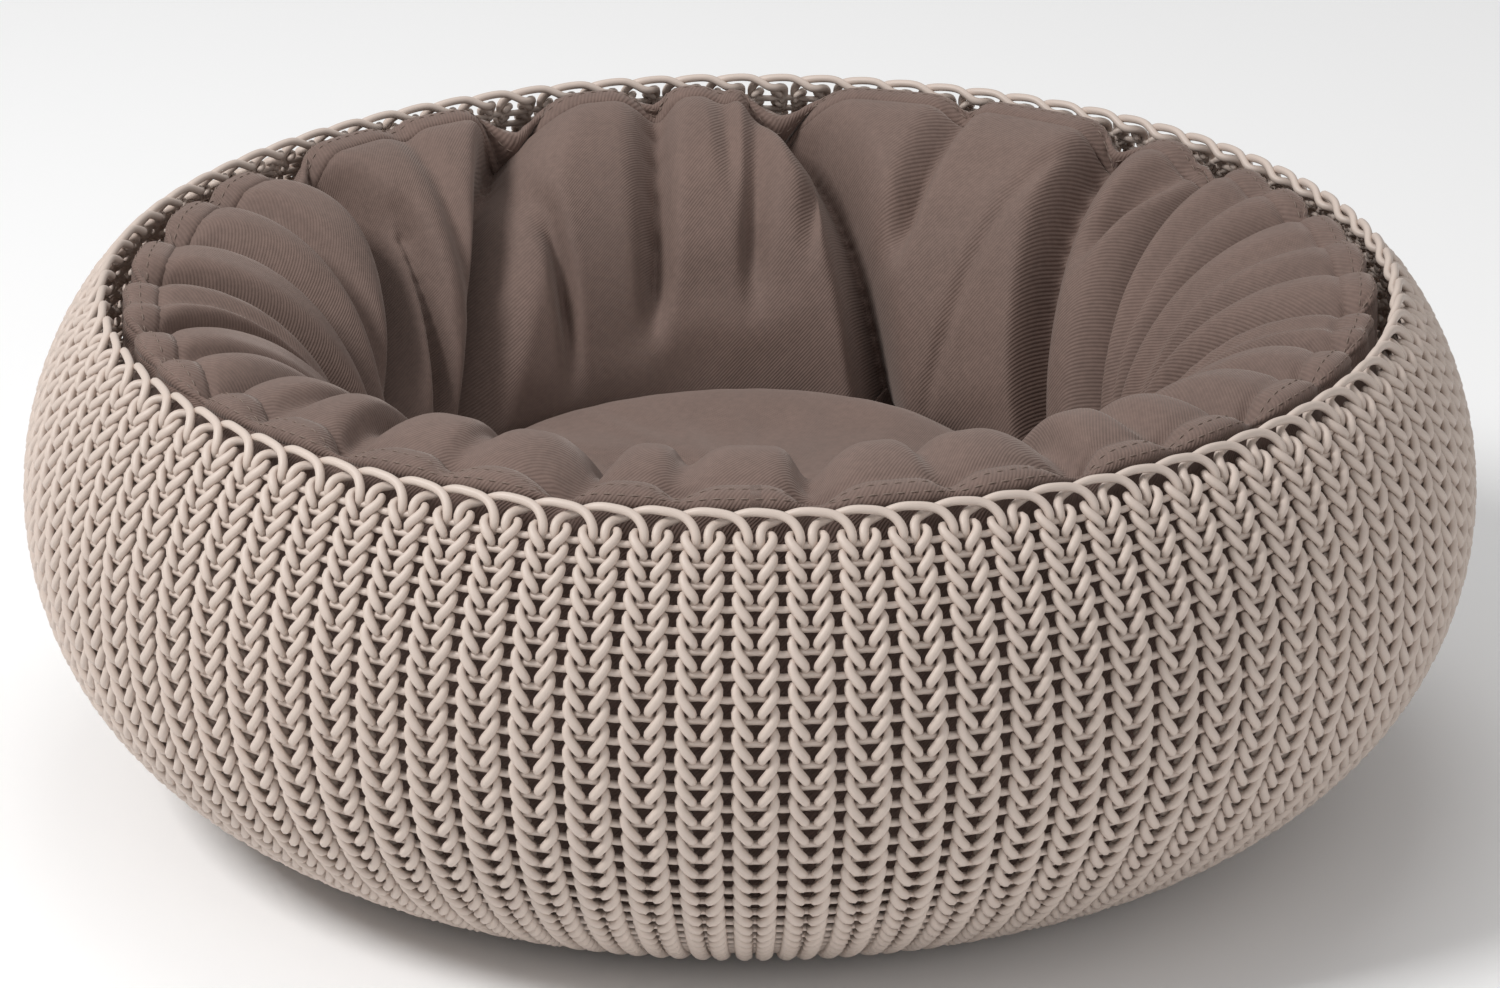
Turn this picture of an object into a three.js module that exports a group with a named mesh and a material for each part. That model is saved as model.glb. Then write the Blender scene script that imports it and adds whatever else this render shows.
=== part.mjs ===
// Knit-pattern pet basket with a lift-out nest cushion and a loose base pad.
// Millimetres, +Z up, origin at the centre of the underside, front towards -Y.
import * as THREE from "three";

// Basket: driving sizes.
const BASKET_HEIGHT = 183.5;
const BELLY_RADIUS = 255;
const BELLY_HEIGHT = 107;
const BASE_RADIUS = 152;
const RIM_RADIUS = 225.2;
const WALL_THICKNESS = 5;
const FLOOR_THICKNESS = 4;
const EDGING_HEIGHT = 13;
const EDGING_THICKNESS = 4.2;

// Nest cushion.
const COVER_THICKNESS = 1.2;
const NEST_RIM_CLEARANCE = 2.5;
const NEST_WALL_CLEARANCE = 3;
const NEST_TOP_BELOW_RIM = 1;
const HEM_HEIGHT = 6;
const HEM_WIDTH = 15;
const NEST_WALL_FOOT_WIDTH = 17;
const POCKET_LIP_HEIGHT = 88;
const SLOPE_BULGE_OUT = 23;
const SLOPE_BULGE_DROP = 23;
const NEST_FLOOR_FILLING = 24;

// Base pad.
const PAD_CLEARANCE = 4;
const PAD_SEAM_RISE = 33;
const PAD_CROWN = 39;
const PAD_UNDER_FLATNESS = 6;
const PAD_CROWN_FLATNESS = 4;

// Fits and facets.
const GAP = 0.3;
const SEGMENTS = 48;
const LOWER_STEPS = 5;
const UPPER_STEPS = 3;
const SLOPE_STEPS = 6;
const PAD_STEPS = 8;

// Sizes that follow from the driving ones.
const SECTION_HALF_WIDTH = BELLY_RADIUS - BASE_RADIUS;
const EDGING_FOOT_Z = BASKET_HEIGHT - EDGING_HEIGHT;
const RIM_OPENING_RADIUS = RIM_RADIUS - EDGING_THICKNESS;
const NEST_RADIUS = RIM_OPENING_RADIUS - NEST_RIM_CLEARANCE;
const NEST_UNDERSIDE_Z = FLOOR_THICKNESS + GAP;
const NEST_BASE_RADIUS = BASE_RADIUS - NEST_WALL_CLEARANCE - WALL_THICKNESS;
const NEST_TOP_Z = BASKET_HEIGHT - NEST_TOP_BELOW_RIM;
const HEM_FOOT_Z = NEST_TOP_Z - HEM_HEIGHT;
const HEM_INNER_RADIUS = NEST_RADIUS - HEM_WIDTH;
const POCKET_RADIUS = NEST_BASE_RADIUS - NEST_WALL_FOOT_WIDTH;
const SKIN = COVER_THICKNESS + GAP;
const FLOOR_FILLING_Z = NEST_UNDERSIDE_Z + SKIN;
const FLOOR_COVER_Z = FLOOR_FILLING_Z + NEST_FLOOR_FILLING + GAP;
const PAD_UNDERSIDE_Z = FLOOR_COVER_Z + SKIN;
const PAD_RADIUS = POCKET_RADIUS - PAD_CLEARANCE;

const PLASTIC = { color: 0xc3b6a9, roughness: 0.5, metalness: 0 };
const TWILL = { color: 0x75645b, roughness: 0.85, metalness: 0 };
const FIBRE = { color: 0xe9e7e2, roughness: 1, metalness: 0 };

// Height of the upper half of the wall's section, chosen so that it meets the rim's radius at the rim's top.
function upperSectionHeight() {
  const cosine = (RIM_RADIUS - BASE_RADIUS) / SECTION_HALF_WIDTH;
  return (BASKET_HEIGHT - BELLY_HEIGHT) / Math.sqrt(1 - cosine * cosine);
}

// One point of the wall's section, moved inwards by inset, at an angle from the belly's level.
function sectionPoint(angle, inset) {
  const halfHeight = angle < 0 ? BELLY_HEIGHT : upperSectionHeight();
  const x = BASE_RADIUS + (SECTION_HALF_WIDTH - inset) * Math.cos(angle);
  const y = BELLY_HEIGHT + (halfHeight - inset) * Math.sin(angle);
  return new THREE.Vector2(x, y);
}

// The angle at which the inset section reaches a height.
function sectionAngle(height, inset) {
  const halfHeight = height < BELLY_HEIGHT ? BELLY_HEIGHT : upperSectionHeight();
  const sine = (height - BELLY_HEIGHT) / (halfHeight - inset);
  return Math.asin(Math.min(1, Math.max(-1, sine)));
}

// The wall's section from its foot to the belly's level.
function lowerArc(inset) {
  const points = [];
  for (let i = 0; i <= LOWER_STEPS; i++) {
    points.push(sectionPoint(-Math.PI / 2 * (1 - i / LOWER_STEPS), inset));
  }
  return points;
}

// The wall's section from its foot up to a height above the belly.
function sectionArc(topHeight, inset) {
  const points = lowerArc(inset);
  const high = sectionAngle(topHeight, inset);
  for (let i = 1; i <= UPPER_STEPS; i++) {
    points.push(sectionPoint(high * i / UPPER_STEPS, inset));
  }
  return points;
}

// A closed body of revolution about Z from an outline in (radius, height).
function revolve(outline) {
  const points = outline.slice();
  if (points[0].x > 0) {
    points.push(points[0].clone());
  }
  if (THREE.ShapeUtils.area(points) < 0) {
    points.reverse();
  }
  const geometry = new THREE.LatheGeometry(points, SEGMENTS);
  geometry.rotateX(Math.PI / 2);
  return geometry;
}

function mesh(name, geometry, look) {
  const part = new THREE.Mesh(geometry, new THREE.MeshStandardMaterial(look));
  part.name = name;
  return part;
}

function at(radius, height) {
  return new THREE.Vector2(radius, height);
}

// A flat disc between two heights.
function disc(radius, low, high) {
  return revolve([at(0, low), at(radius, low), at(radius, high), at(0, high)]);
}

// Basket ---------------------------------------------------------------------

function basketWall() {
  const top = EDGING_FOOT_Z - GAP;
  const outside = sectionArc(top, 0);
  const inside = sectionArc(top, WALL_THICKNESS).reverse();
  return mesh("basket_wall", revolve([...outside, ...inside]), PLASTIC);
}

// One band stands in for the open loops that finish the wall.
function rimEdging() {
  const footOutside = sectionPoint(sectionAngle(EDGING_FOOT_Z, 0), 0);
  const bead = EDGING_THICKNESS / 2;
  const outline = [
    footOutside,
    at(RIM_RADIUS, BASKET_HEIGHT - bead),
    at(RIM_RADIUS - bead, BASKET_HEIGHT),
    at(RIM_RADIUS - EDGING_THICKNESS, BASKET_HEIGHT - bead),
    at(footOutside.x - EDGING_THICKNESS, EDGING_FOOT_Z),
  ];
  return mesh("rim_edging", revolve(outline), PLASTIC);
}

function basketFloor() {
  return mesh("basket_floor", disc(BASE_RADIUS - GAP, 0, FLOOR_THICKNESS), PLASTIC);
}

// Nest cushion -----------------------------------------------------------------

// The cushion's outside: it follows the wall but never grows wider than the rim lets out.
function nestOutside(depth, topHeight) {
  const inset = WALL_THICKNESS + NEST_WALL_CLEARANCE + depth;
  const widest = NEST_RADIUS - depth;
  const points = [];
  for (const point of lowerArc(inset)) {
    if (point.x < widest) {
      points.push(point);
    }
  }
  const cosine = (widest - BASE_RADIUS) / (SECTION_HALF_WIDTH - inset);
  if (cosine < 1) {
    points.push(sectionPoint(-Math.acos(cosine), inset));
  }
  const last = points[points.length - 1];
  points.push(at(last.x, topHeight));
  return points;
}

// The puffed slope from the hem down to the pocket that holds the pad, moved into the filling by depth.
function nestSlope(depth, topHeight) {
  const lip = at(POCKET_RADIUS, POCKET_LIP_HEIGHT);
  const bulge = at(POCKET_RADIUS + SLOPE_BULGE_OUT, HEM_FOOT_Z - SLOPE_BULGE_DROP);
  const top = at(HEM_INNER_RADIUS, HEM_FOOT_Z);
  const curve = new THREE.QuadraticBezierCurve(lip, bulge, top);
  const points = [];
  for (let i = 0; i <= SLOPE_STEPS; i++) {
    const point = curve.getPoint(i / SLOPE_STEPS);
    const along = curve.getTangent(i / SLOPE_STEPS);
    const moved = at(point.x + along.y * depth, point.y - along.x * depth);
    moved.y = Math.min(moved.y, topHeight);
    points.push(moved);
  }
  const first = points[0];
  points[0] = at(POCKET_RADIUS + depth, first.y);
  const last = points[points.length - 1];
  points[points.length - 1] = at(last.x, topHeight);
  return points;
}

function nestInnerCover() {
  const top = HEM_FOOT_Z - GAP;
  const foot = FLOOR_COVER_Z;
  const face = nestSlope(0, top);
  const back = nestSlope(COVER_THICKNESS, top);
  const outline = [
    at(face[0].x, foot),
    ...face,
    ...back.reverse(),
    at(POCKET_RADIUS + COVER_THICKNESS, foot),
  ];
  return mesh("nest_inner_cover", revolve(outline), TWILL);
}

function nestWallFilling() {
  const top = HEM_FOOT_Z - GAP;
  const foot = FLOOR_FILLING_Z;
  const slope = nestSlope(SKIN, top);
  const outside = nestOutside(SKIN, top);
  const outline = [
    at(POCKET_RADIUS + SKIN, foot),
    ...slope,
    ...outside.reverse(),
    at(NEST_BASE_RADIUS - SKIN, foot),
  ];
  return mesh("nest_wall_filling", revolve(outline), FIBRE);
}

function nestOuterCover() {
  const top = HEM_FOOT_Z - GAP;
  const outline = [
    at(NEST_BASE_RADIUS, NEST_UNDERSIDE_Z),
    ...nestOutside(0, top),
    ...nestOutside(COVER_THICKNESS, top).reverse(),
    at(NEST_BASE_RADIUS, NEST_UNDERSIDE_Z + COVER_THICKNESS),
  ];
  return mesh("nest_outer_cover", revolve(outline), TWILL);
}

function nestTopHem() {
  const fold = HEM_HEIGHT / 2;
  const outline = [
    at(HEM_INNER_RADIUS, HEM_FOOT_Z),
    at(NEST_RADIUS, HEM_FOOT_Z),
    at(NEST_RADIUS, NEST_TOP_Z - fold),
    at(NEST_RADIUS - fold, NEST_TOP_Z),
    at(HEM_INNER_RADIUS + fold, NEST_TOP_Z),
    at(HEM_INNER_RADIUS, NEST_TOP_Z - fold),
  ];
  return mesh("nest_top_hem", revolve(outline), TWILL);
}

function nestFloorFilling() {
  const high = FLOOR_FILLING_Z + NEST_FLOOR_FILLING;
  return mesh("nest_floor_filling", disc(POCKET_RADIUS + SKIN - GAP, FLOOR_FILLING_Z, high), FIBRE);
}

function nestFloorCover() {
  const high = FLOOR_COVER_Z + COVER_THICKNESS;
  return mesh("nest_floor_cover", disc(POCKET_RADIUS - GAP, FLOOR_COVER_Z, high), TWILL);
}

function nestBaseCover() {
  const high = NEST_UNDERSIDE_Z + COVER_THICKNESS;
  return mesh("nest_base_cover", disc(NEST_BASE_RADIUS - GAP, NEST_UNDERSIDE_Z, high), TWILL);
}

// Base pad ---------------------------------------------------------------------

// Half of the pad's outline from the axis to its seam, moved inwards by depth.
function padFace(depth, rise, flatness, seamGap) {
  const radius = PAD_RADIUS - depth;
  const points = [];
  for (let i = 0; i <= PAD_STEPS; i++) {
    const share = Math.sin(Math.PI / 2 * i / PAD_STEPS);
    const height = (Math.abs(rise) - depth - seamGap) * Math.sqrt(1 - share ** flatness);
    const level = PAD_UNDERSIDE_Z + PAD_SEAM_RISE + Math.sign(rise) * (seamGap + height);
    points.push(at(radius * share, level));
  }
  return points;
}

function padCover(name, rise, flatness) {
  const outside = padFace(0, rise, flatness, GAP / 2);
  const inside = padFace(COVER_THICKNESS, rise, flatness, GAP / 2);
  return mesh(name, revolve([...outside, ...inside.reverse()]), TWILL);
}

function padFilling() {
  const upper = padFace(SKIN, PAD_CROWN, PAD_CROWN_FLATNESS, 0);
  const lower = padFace(SKIN, -PAD_SEAM_RISE, PAD_UNDER_FLATNESS, 0);
  lower.pop();
  return mesh("pad_filling", revolve([...lower, ...upper.reverse()]), FIBRE);
}

function build() {
  const object = new THREE.Group();
  const basket = new THREE.Group();
  basket.add(basketWall(), rimEdging(), basketFloor());
  const nest = new THREE.Group();
  nest.add(nestInnerCover(), nestWallFilling(), nestOuterCover(), nestTopHem());
  nest.add(nestFloorCover(), nestFloorFilling(), nestBaseCover());
  const pad = new THREE.Group();
  pad.add(padCover("pad_top_cover", PAD_CROWN, PAD_CROWN_FLATNESS));
  pad.add(padCover("pad_bottom_cover", -PAD_SEAM_RISE, PAD_UNDER_FLATNESS));
  pad.add(padFilling());
  object.add(basket, nest, pad);
  return object;
}

export default build();
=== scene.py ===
"""Knit-pattern pet basket with a gathered nest cushion and a loose base pad."""

import math

import bpy
import numpy as np
from bpy.props import FloatProperty, FloatVectorProperty, IntProperty, PointerProperty
from bpy.types import Operator, Panel, PropertyGroup
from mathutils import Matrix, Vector


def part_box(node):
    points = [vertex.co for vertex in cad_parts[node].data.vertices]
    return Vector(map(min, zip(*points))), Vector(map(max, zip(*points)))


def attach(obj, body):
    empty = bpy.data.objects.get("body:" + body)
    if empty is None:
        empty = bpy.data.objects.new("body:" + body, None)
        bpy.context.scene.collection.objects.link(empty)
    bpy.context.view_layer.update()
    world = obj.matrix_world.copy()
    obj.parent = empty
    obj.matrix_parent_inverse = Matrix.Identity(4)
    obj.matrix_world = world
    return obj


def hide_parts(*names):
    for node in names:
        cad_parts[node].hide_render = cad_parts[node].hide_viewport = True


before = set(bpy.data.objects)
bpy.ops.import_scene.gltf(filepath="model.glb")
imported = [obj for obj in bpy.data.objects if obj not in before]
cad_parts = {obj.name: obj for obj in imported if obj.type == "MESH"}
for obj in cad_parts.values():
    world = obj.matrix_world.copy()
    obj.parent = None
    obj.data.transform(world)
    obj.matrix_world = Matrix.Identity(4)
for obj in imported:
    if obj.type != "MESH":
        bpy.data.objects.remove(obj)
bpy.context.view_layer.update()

bl_info = {
    "name": "Knit-pattern pet basket",
    "version": (1, 0, 0),
    "blender": (4, 5, 0),
    "location": "View3D > Sidebar > Pet basket",
    "description": "Builds the knit-pattern basket, its nest cushion and its base pad round the packed frame",
    "category": "Object",
}

MM = 0.001

BELLY_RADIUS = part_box("basket_wall")[1].x
BASE_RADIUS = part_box("basket_floor")[1].x
BASKET_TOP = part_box("rim_edging")[1].z
FLOOR_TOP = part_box("basket_floor")[1].z
NEST_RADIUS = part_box("nest_top_hem")[1].x
NEST_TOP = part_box("nest_top_hem")[1].z
NEST_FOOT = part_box("nest_base_cover")[0].z
NEST_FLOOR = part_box("nest_floor_cover")[1].z
POCKET_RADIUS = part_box("nest_floor_cover")[1].x
PAD_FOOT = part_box("pad_bottom_cover")[0].z
PAD_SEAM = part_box("pad_top_cover")[0].z
PAD_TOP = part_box("pad_top_cover")[1].z
# Height of the basket's widest level, which the cushion's section follows too.
BELLY_LEVEL = 0.107


# Sizes and colours that a user would change -----------------------------------


class BasketSettings(PropertyGroup):
    """The knit-pattern basket."""

    belly_height: FloatProperty(name="Belly height", description="Height of the widest level",
                                default=BELLY_LEVEL, subtype="DISTANCE", unit="LENGTH")
    rim_radius: FloatProperty(name="Rim radius", description="Outer radius at the top of the rim",
                              default=0.2252, subtype="DISTANCE", unit="LENGTH")
    wales: IntProperty(name="Stitch columns", description="Upright columns of stitches round the wall",
                       default=88)
    front_turn: FloatProperty(name="Front turn", description="Angle from the front to the nearest column",
                              default=math.radians(0.4), subtype="ANGLE", unit="ROTATION")
    first_course: FloatProperty(name="First course", description="Distance down the wall to the first course",
                                default=0.013, subtype="DISTANCE", unit="LENGTH")
    course_height: FloatProperty(name="Course height", description="Height of one course at the belly",
                                 default=0.00785, subtype="DISTANCE", unit="LENGTH")
    least_course: FloatProperty(name="Least course", description="Least height of a course, near the floor",
                                default=0.0052, subtype="DISTANCE", unit="LENGTH")
    strand_radius: FloatProperty(name="Strand radius", description="Thickest radius of a stitch's arm",
                                 default=0.00175, subtype="DISTANCE", unit="LENGTH")
    colour: FloatVectorProperty(name="Plastic", description="Colour of the moulded plastic", subtype="COLOR",
                                size=4, default=(0.58, 0.485, 0.425, 1.0), min=0, max=1)


class CushionSettings(PropertyGroup):
    """The nest cushion and the base pad."""

    colour: FloatVectorProperty(name="Twill", description="Colour of the brown twill", subtype="COLOR",
                                size=4, default=(0.168, 0.113, 0.094, 1.0), min=0, max=1)
    thread: FloatVectorProperty(name="Thread", description="Colour of the stitching thread", subtype="COLOR",
                                size=4, default=(0.19, 0.135, 0.11, 1.0), min=0, max=1)
    rib_spacing: FloatProperty(name="Rib spacing", description="Distance between the twill's diagonal ribs",
                               default=0.00095, subtype="DISTANCE", unit="LENGTH")
    puff: FloatProperty(name="Puff", description="How far the padding stands out between the creases",
                        default=0.011, subtype="DISTANCE", unit="LENGTH")
    stitch_length: FloatProperty(name="Stitch length", description="Length of one stitch of the hem",
                                 default=0.0032, subtype="DISTANCE", unit="LENGTH")
    pressure: FloatProperty(name="Padding pressure", description="Pressure of the padding on the cloth",
                            default=4.0)
    pad_radius: FloatProperty(name="Pad radius", description="Radius of the base pad", default=0.1212,
                              subtype="DISTANCE", unit="LENGTH")


class StageSettings(PropertyGroup):
    """Camera, floor and lights."""

    rim_height: FloatProperty(name="Aim height", description="Height that the view is measured from",
                              default=0.181, subtype="DISTANCE", unit="LENGTH")
    distance: FloatProperty(name="Distance", description="Camera's distance from that point",
                            default=2.16, subtype="DISTANCE", unit="LENGTH")
    elevation: FloatProperty(name="Elevation", description="Camera's elevation seen from that point",
                             default=math.radians(19.49), subtype="ANGLE", unit="ROTATION")
    tilt: FloatProperty(name="Tilt", description="Downward tilt of the camera", default=math.radians(21.53),
                        subtype="ANGLE", unit="ROTATION")
    lens: FloatProperty(name="Lens", description="Focal length for a 36 mm sensor", default=148.6,
                        unit="CAMERA")


# Mesh helpers -----------------------------------------------------------------


def smoothstep(low, high, value):
    """0 below low, 1 above high, and a smooth rise between them."""
    share = np.clip((value - low) / (high - low), 0, 1)
    return share * share * (3 - 2 * share)


def spline(points, count):
    """A smooth line of count points through the given ones, which may have any number of columns."""
    points = np.asarray(points, float)
    ends = np.vstack([2 * points[0] - points[1], points, 2 * points[-1] - points[-2]])
    spans = len(points) - 1
    place = np.linspace(0, spans, count)
    index = np.minimum(place.astype(int), spans - 1)
    t = (place - index)[:, None]
    p0, p1, p2, p3 = (ends[index + i] for i in range(4))
    return 0.5 * (2 * p1 + (p2 - p0) * t + (2 * p0 - 5 * p1 + 4 * p2 - p3) * t ** 2
                  + (3 * p1 - p0 - 3 * p2 + p3) * t ** 3)


def unit(vectors):
    """The vectors at length one."""
    return vectors / np.maximum(np.linalg.norm(vectors, axis=-1, keepdims=True), 1e-12)


def new_object(name, data):
    """A new object in the scene's collection."""
    made = bpy.data.objects.new(name, data)
    bpy.context.scene.collection.objects.link(made)
    return made


def mesh_from(name, points, faces, sizes):
    """A mesh from points, and from faces given as one run of corners and the number of corners of each."""
    mesh = bpy.data.meshes.new(name)
    mesh.vertices.add(len(points))
    mesh.vertices.foreach_set("co", np.asarray(points, np.float32).ravel())
    mesh.loops.add(len(faces))
    mesh.loops.foreach_set("vertex_index", np.asarray(faces, np.int32))
    mesh.polygons.add(len(sizes))
    starts = np.concatenate([[0], np.cumsum(sizes)[:-1]])
    mesh.polygons.foreach_set("loop_start", starts.astype(np.int32))
    mesh.polygons.foreach_set("use_smooth", np.ones(len(sizes), bool))
    mesh.update(calc_edges=True)
    mesh.validate()
    return mesh


def tubes(centres, radii, outward, sides, closed=False):
    """Points, corners and face sizes of many round strands.

    centres is strands by rings by 3, radii is strands by rings, and outward is a direction at each ring that
    is never along the strand. A strand is closed into a ring, or its ends are rounded off.
    """
    if closed:
        along = np.roll(centres, -1, axis=1) - np.roll(centres, 1, axis=1)
    else:
        along = np.gradient(centres, axis=1)
    along = unit(along)
    across = unit(np.cross(along, outward))
    up = np.cross(across, along)
    if not closed:
        head = centres[:, :1] - along[:, :1] * radii[:, :1, None] * 0.6
        tail = centres[:, -1:] + along[:, -1:] * radii[:, -1:, None] * 0.6
        centres = np.concatenate([head, centres, tail], 1)
        radii = np.concatenate([radii[:, :1] * 0.62, radii, radii[:, -1:] * 0.62], 1)
        across = np.concatenate([across[:, :1], across, across[:, -1:]], 1)
        up = np.concatenate([up[:, :1], up, up[:, -1:]], 1)
    strands, rings = radii.shape
    angles = np.arange(sides) * 2 * math.pi / sides
    ring = up[:, :, None] * np.cos(angles)[:, None] + across[:, :, None] * np.sin(angles)[:, None]
    points = (centres[:, :, None] + ring * radii[:, :, None, None]).reshape(-1, 3)
    ids = np.arange(strands * rings * sides).reshape(strands, rings, sides)
    after = np.roll(ids, -1, axis=1) if closed else ids[:, 1:]
    here = ids if closed else ids[:, :-1]
    quads = np.stack([here, np.roll(here, -1, 2), np.roll(after, -1, 2), after], -1).reshape(-1, 4)
    faces = [quads.ravel()]
    sizes = [np.full(len(quads), 4)]
    if not closed:
        caps = np.concatenate([ids[:, 0, ::-1], ids[:, -1]])
        faces.append(caps.ravel())
        sizes.append(np.full(len(caps), sides))
    return points, np.concatenate(faces), np.concatenate(sizes)


def joined(parts):
    """Several results of tubes() as one."""
    points, faces, sizes, base = [], [], [], 0
    for part_points, part_faces, part_sizes in parts:
        points.append(part_points)
        faces.append(part_faces + base)
        sizes.append(part_sizes)
        base += len(part_points)
    return np.concatenate(points), np.concatenate(faces), np.concatenate(sizes)


# Materials --------------------------------------------------------------------


def node(tree, kind, **values):
    """A new shader node with its settings and the defaults of its inputs."""
    made = tree.nodes.new(kind)
    for key, value in values.items():
        if key in made.inputs:
            made.inputs[key].default_value = value
        else:
            setattr(made, key, value)
    return made


def new_material(name):
    """An empty material with a Principled shader."""
    material = bpy.data.materials.new(name)
    material.use_nodes = True
    return material, material.node_tree, material.node_tree.nodes["Principled BSDF"]


def noise(tree, scale, detail):
    """A noise in the object's own coordinates."""
    place = node(tree, "ShaderNodeTexCoord")
    made = node(tree, "ShaderNodeTexNoise", Scale=scale, Detail=detail)
    tree.links.new(place.outputs["Object"], made.inputs["Vector"])
    return made.outputs["Fac"]


def ranged(tree, value, low, high):
    """A value of 0 to 1 as one between low and high."""
    made = node(tree, "ShaderNodeMapRange", **{"To Min": low, "To Max": high})
    tree.links.new(value, made.inputs["Value"])
    return made.outputs["Result"]


def surface(tree, shader, colour, tone, height, strength, distance):
    """Gives a shader its colour times a tone, and a bump from a height."""
    mix = node(tree, "ShaderNodeVectorMath", operation="SCALE")
    mix.inputs[0].default_value = colour[:3]
    tree.links.new(tone, mix.inputs["Scale"])
    tree.links.new(mix.outputs["Vector"], shader.inputs["Base Color"])
    bump = node(tree, "ShaderNodeBump", Strength=strength, Distance=distance)
    tree.links.new(height, bump.inputs["Height"])
    tree.links.new(bump.outputs["Normal"], shader.inputs["Normal"])


def moulded_plastic(name, colour):
    """Satin moulded plastic: slight shifts of colour, fine grain and patches that are more or less dull."""
    found = bpy.data.materials.get(name)
    if found:
        return found
    material, tree, shader = new_material(name)
    broad = noise(tree, 9.0, 3.0)
    surface(tree, shader, colour, ranged(tree, broad, 0.93, 1.07), noise(tree, 900.0, 3.0), 0.12, 0.0003)
    tree.links.new(ranged(tree, broad, 0.42, 0.56), shader.inputs["Roughness"])
    shader.inputs["Specular IOR Level"].default_value = 0.5
    return material


def math_node(tree, operation, first, second):
    """The result of a sum, where each side is a socket or a number."""
    made = node(tree, "ShaderNodeMath", operation=operation)
    for slot, value in enumerate((first, second)):
        if isinstance(value, (int, float)):
            made.inputs[slot].default_value = value
        else:
            tree.links.new(value, made.inputs[slot])
    return made.outputs[0]


def twill(name, colour, spacing):
    """Brown twill: fine diagonal ribs, slubs, rubbed lighter patches and a soft sheen."""
    found = bpy.data.materials.get(name)
    if found:
        return found
    material, tree, shader = new_material(name)
    weave = node(tree, "ShaderNodeUVMap", uv_map="weave")
    parts = node(tree, "ShaderNodeSeparateXYZ")
    tree.links.new(weave.outputs["UV"], parts.inputs[0])
    diagonal = math_node(tree, "ADD", parts.outputs["X"], parts.outputs["Y"])
    turns = 2 * math.pi / (spacing * math.sqrt(2))
    rib = math_node(tree, "SINE", math_node(tree, "MULTIPLY", diagonal, turns), 0.0)
    slub, patch, broad = noise(tree, 420.0, 3.0), noise(tree, 26.0, 4.0), noise(tree, 7.0, 2.0)
    tone = math_node(tree, "MULTIPLY", rib, 0.07)
    for texture, share in ((slub, 0.42), (patch, 0.32), (broad, 0.22)):
        tone = math_node(tree, "ADD", tone, math_node(tree, "MULTIPLY", texture, share))
    tone = math_node(tree, "ADD", tone, 0.52)
    height = math_node(tree, "ADD", rib, math_node(tree, "MULTIPLY", slub, 1.1))
    surface(tree, shader, colour, tone, height, 0.5, 0.00014)
    tree.links.new(ranged(tree, patch, 0.66, 0.84), shader.inputs["Roughness"])
    shader.inputs["Specular IOR Level"].default_value = 0.32
    shader.inputs["Sheen Weight"].default_value = 0.26
    shader.inputs["Sheen Roughness"].default_value = 0.45
    shader.inputs["Sheen Tint"].default_value = (0.86, 0.76, 0.7, 1)
    return material


def sewing_thread(name, colour):
    """Sewing thread: a fine twist along it."""
    found = bpy.data.materials.get(name)
    if found:
        return found
    material, tree, shader = new_material(name)
    twist = noise(tree, 1500.0, 2.0)
    surface(tree, shader, colour, ranged(tree, twist, 0.75, 1.25), twist, 0.5, 0.0001)
    shader.inputs["Roughness"].default_value = 0.6
    return material


# The basket -------------------------------------------------------------------


class WallSection:
    """The wall's outer section from the top of the rim down to the floor, by distance along it."""

    def __init__(self, basket):
        width = BELLY_RADIUS - BASE_RADIUS
        cosine = (basket.rim_radius - BASE_RADIUS) / width
        upper = (BASKET_TOP - basket.belly_height) / math.sqrt(1 - cosine * cosine)
        angle = np.linspace(math.acos(cosine), -math.pi / 2, 1201)
        half_height = np.where(angle > 0, upper, basket.belly_height)
        self.radius = BASE_RADIUS + width * np.cos(angle)
        self.height = basket.belly_height + half_height * np.sin(angle)
        steps = np.hypot(np.diff(self.radius), np.diff(self.height))
        self.along = np.concatenate([[0], np.cumsum(steps)])
        slope = unit(np.stack([np.gradient(self.radius), np.gradient(self.height)], 1))
        self.out_radius = -slope[:, 1]
        self.out_height = slope[:, 0]
        self.length = self.along[-1]

    def at(self, along):
        """Radius and height at a distance along the section."""
        return np.interp(along, self.along, self.radius), np.interp(along, self.along, self.height)

    def outward(self, turn, along):
        """The outward direction at an angle from the front and a distance along the section."""
        flat = np.interp(along, self.along, self.out_radius)
        rise = np.interp(along, self.along, self.out_height)
        return unit(np.stack([flat * np.sin(turn), -flat * np.cos(turn), rise + 0 * turn], -1))

    def place(self, turn, along, out):
        """Points at an angle from the front, a distance along the section and a distance out of it."""
        radius, height = self.at(along)
        base = np.stack([radius * np.sin(turn), -radius * np.cos(turn), height + 0 * turn], -1)
        return base + self.outward(turn, along) * np.asarray(out)[..., None]


def course_levels(basket, section):
    """Distance down the wall and height of each course, until the floor is reached."""
    levels = []
    along = basket.first_course
    while along < section.length:
        radius = section.at(along)[0] / BELLY_RADIUS
        height = max(basket.course_height * radius ** 2, basket.least_course)
        levels.append((along, height))
        along += height
    return levels


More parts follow.
